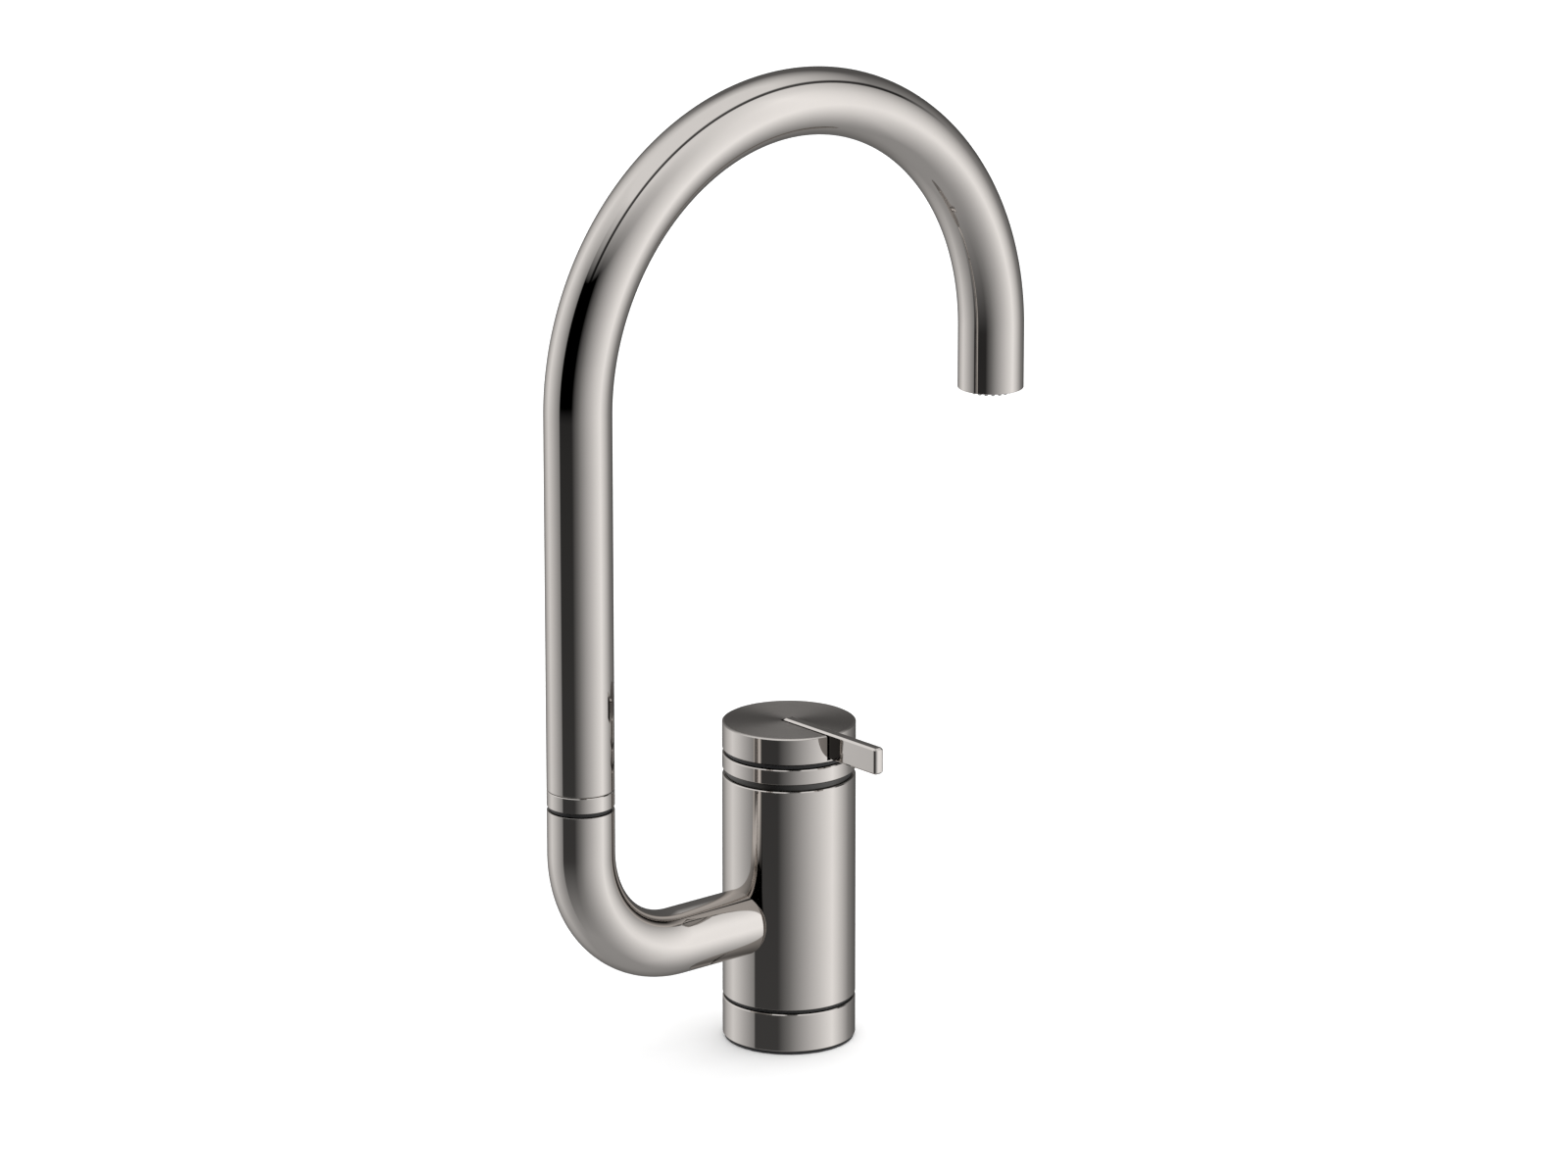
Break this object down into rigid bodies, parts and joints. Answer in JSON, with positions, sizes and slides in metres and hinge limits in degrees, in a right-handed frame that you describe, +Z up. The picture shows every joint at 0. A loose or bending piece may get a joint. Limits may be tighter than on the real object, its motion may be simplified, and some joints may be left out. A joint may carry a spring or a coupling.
{
  "type": "pull down kitchen faucet",
  "caption": "Deck faucet with a round body, a lever in its turning cap, a side arm, and a swivelling gooseneck spout whose concealed sprayhead pulls down on a hose.",
  "frame": {"origin": "centre of the body's foot on the deck", "axes": "+Z up along the body, -Y towards the lever and the person using it, -X towards the side arm, +X towards the outlet"},
  "size_m": [0.2586, 0.0871, 0.425],
  "materials": {
    "polished_nickel": "mirror polished titanium-tone nickel plating, the cap's top spun-brushed",
    "dark_nickel": "dark satin coated ring in a shadow groove",
    "brass": "machined brass",
    "steel": "turned stainless steel",
    "copper": "drawn copper tube",
    "rubber": "matte moulded rubber",
    "grey_rubber": "light grey moulded silicone nozzle face",
    "black_acetal": "turned black acetal",
    "white_plastic": "moulded natural plastic",
    "magnet": "moulded magnet ring",
    "hose": "braided nylon sleeve over a flexible hose"
  },
  "bodies": {
    "base": {"base_gasket": "rubber", "base_ring": "polished_nickel", "base_spacer": "black_acetal", "mounting_foot": "brass", "tie_screw_front": "steel", "tie_screw_back": "steel", "body_housing": "polished_nickel", "side_arm": "polished_nickel", "valve_body": "brass", "hot_pipe": "copper", "cold_pipe": "copper", "mixed_pipe": "copper", "cartridge_sleeve": "white_plastic", "cartridge_seal": "rubber", "cartridge_nut": "brass", "bonnet": "dark_nickel", "trim_ring": "polished_nickel", "glide_ring": "black_acetal", "swivel_spigot": "brass", "bearing_washer": "black_acetal", "swivel_seal_lower": "rubber", "swivel_seal_upper": "rubber", "spigot_circlip": "steel", "hose_in_arm": "hose", "hose_connector": "brass"},
    "cap": {"handle_cap": "polished_nickel", "cap_circlip": "steel", "lever_pivot_pin": "steel"},
    "lever": {"lever_blade": "polished_nickel", "link_pin": "steel", "pivot_washer_left": "black_acetal", "pivot_washer_right": "black_acetal"},
    "stem": {"valve_stem": "steel", "piston_seal_lower": "rubber", "piston_seal_upper": "rubber"},
    "spout": {"swivel_collar": "polished_nickel", "spout_insert": "brass", "swivel_bush": "black_acetal", "spout_stop_screw": "steel", "gooseneck_tube": "polished_nickel", "dock_sleeve": "black_acetal", "dock_magnet": "magnet", "hose_in_spout": "hose"},
    "sprayhead": {"sprayhead_shell": "polished_nickel", "spray_face": "grey_rubber", "face_seal": "rubber", "flow_screen": "steel", "check_valve": "white_plastic", "head_magnet_ring": "steel", "hose_nut": "brass", "hose_ball": "brass", "hose_ferrule": "steel"}
  },
  "joints": [
    {"name": "spout_swivel", "type": "hinge", "parent": "base", "child": "spout", "pos_m": [-0.115, 0, 0.1315], "axis": [0, 0, 1], "range_deg": [-90, 90]},
    {"name": "handle_turn", "type": "hinge", "parent": "base", "child": "cap", "pos_m": [0, 0, 0.1358], "axis": [0, 0, 1], "range_deg": [-45, 45]},
    {"name": "lever_lift", "type": "hinge", "parent": "cap", "child": "lever", "pos_m": [0, -0.008, 0.1392], "axis": [-1, 0, 0], "range_deg": [0, 22]},
    {"name": "stem_travel", "type": "slide", "parent": "cap", "child": "stem", "axis": [0, 0, -1], "range_m": [0, 0.0025]},
    {"name": "sprayhead_pull", "type": "slide", "parent": "spout", "child": "sprayhead", "axis": [0, 0, -1], "range_m": [0, 0.24], "stiffness_N_per_m": 5, "springref_m": -0.6}
  ],
  "couplings": [
    {"joint": "stem_travel", "follows": "lever_lift", "m_per_rad": 0.0063}
  ]
}
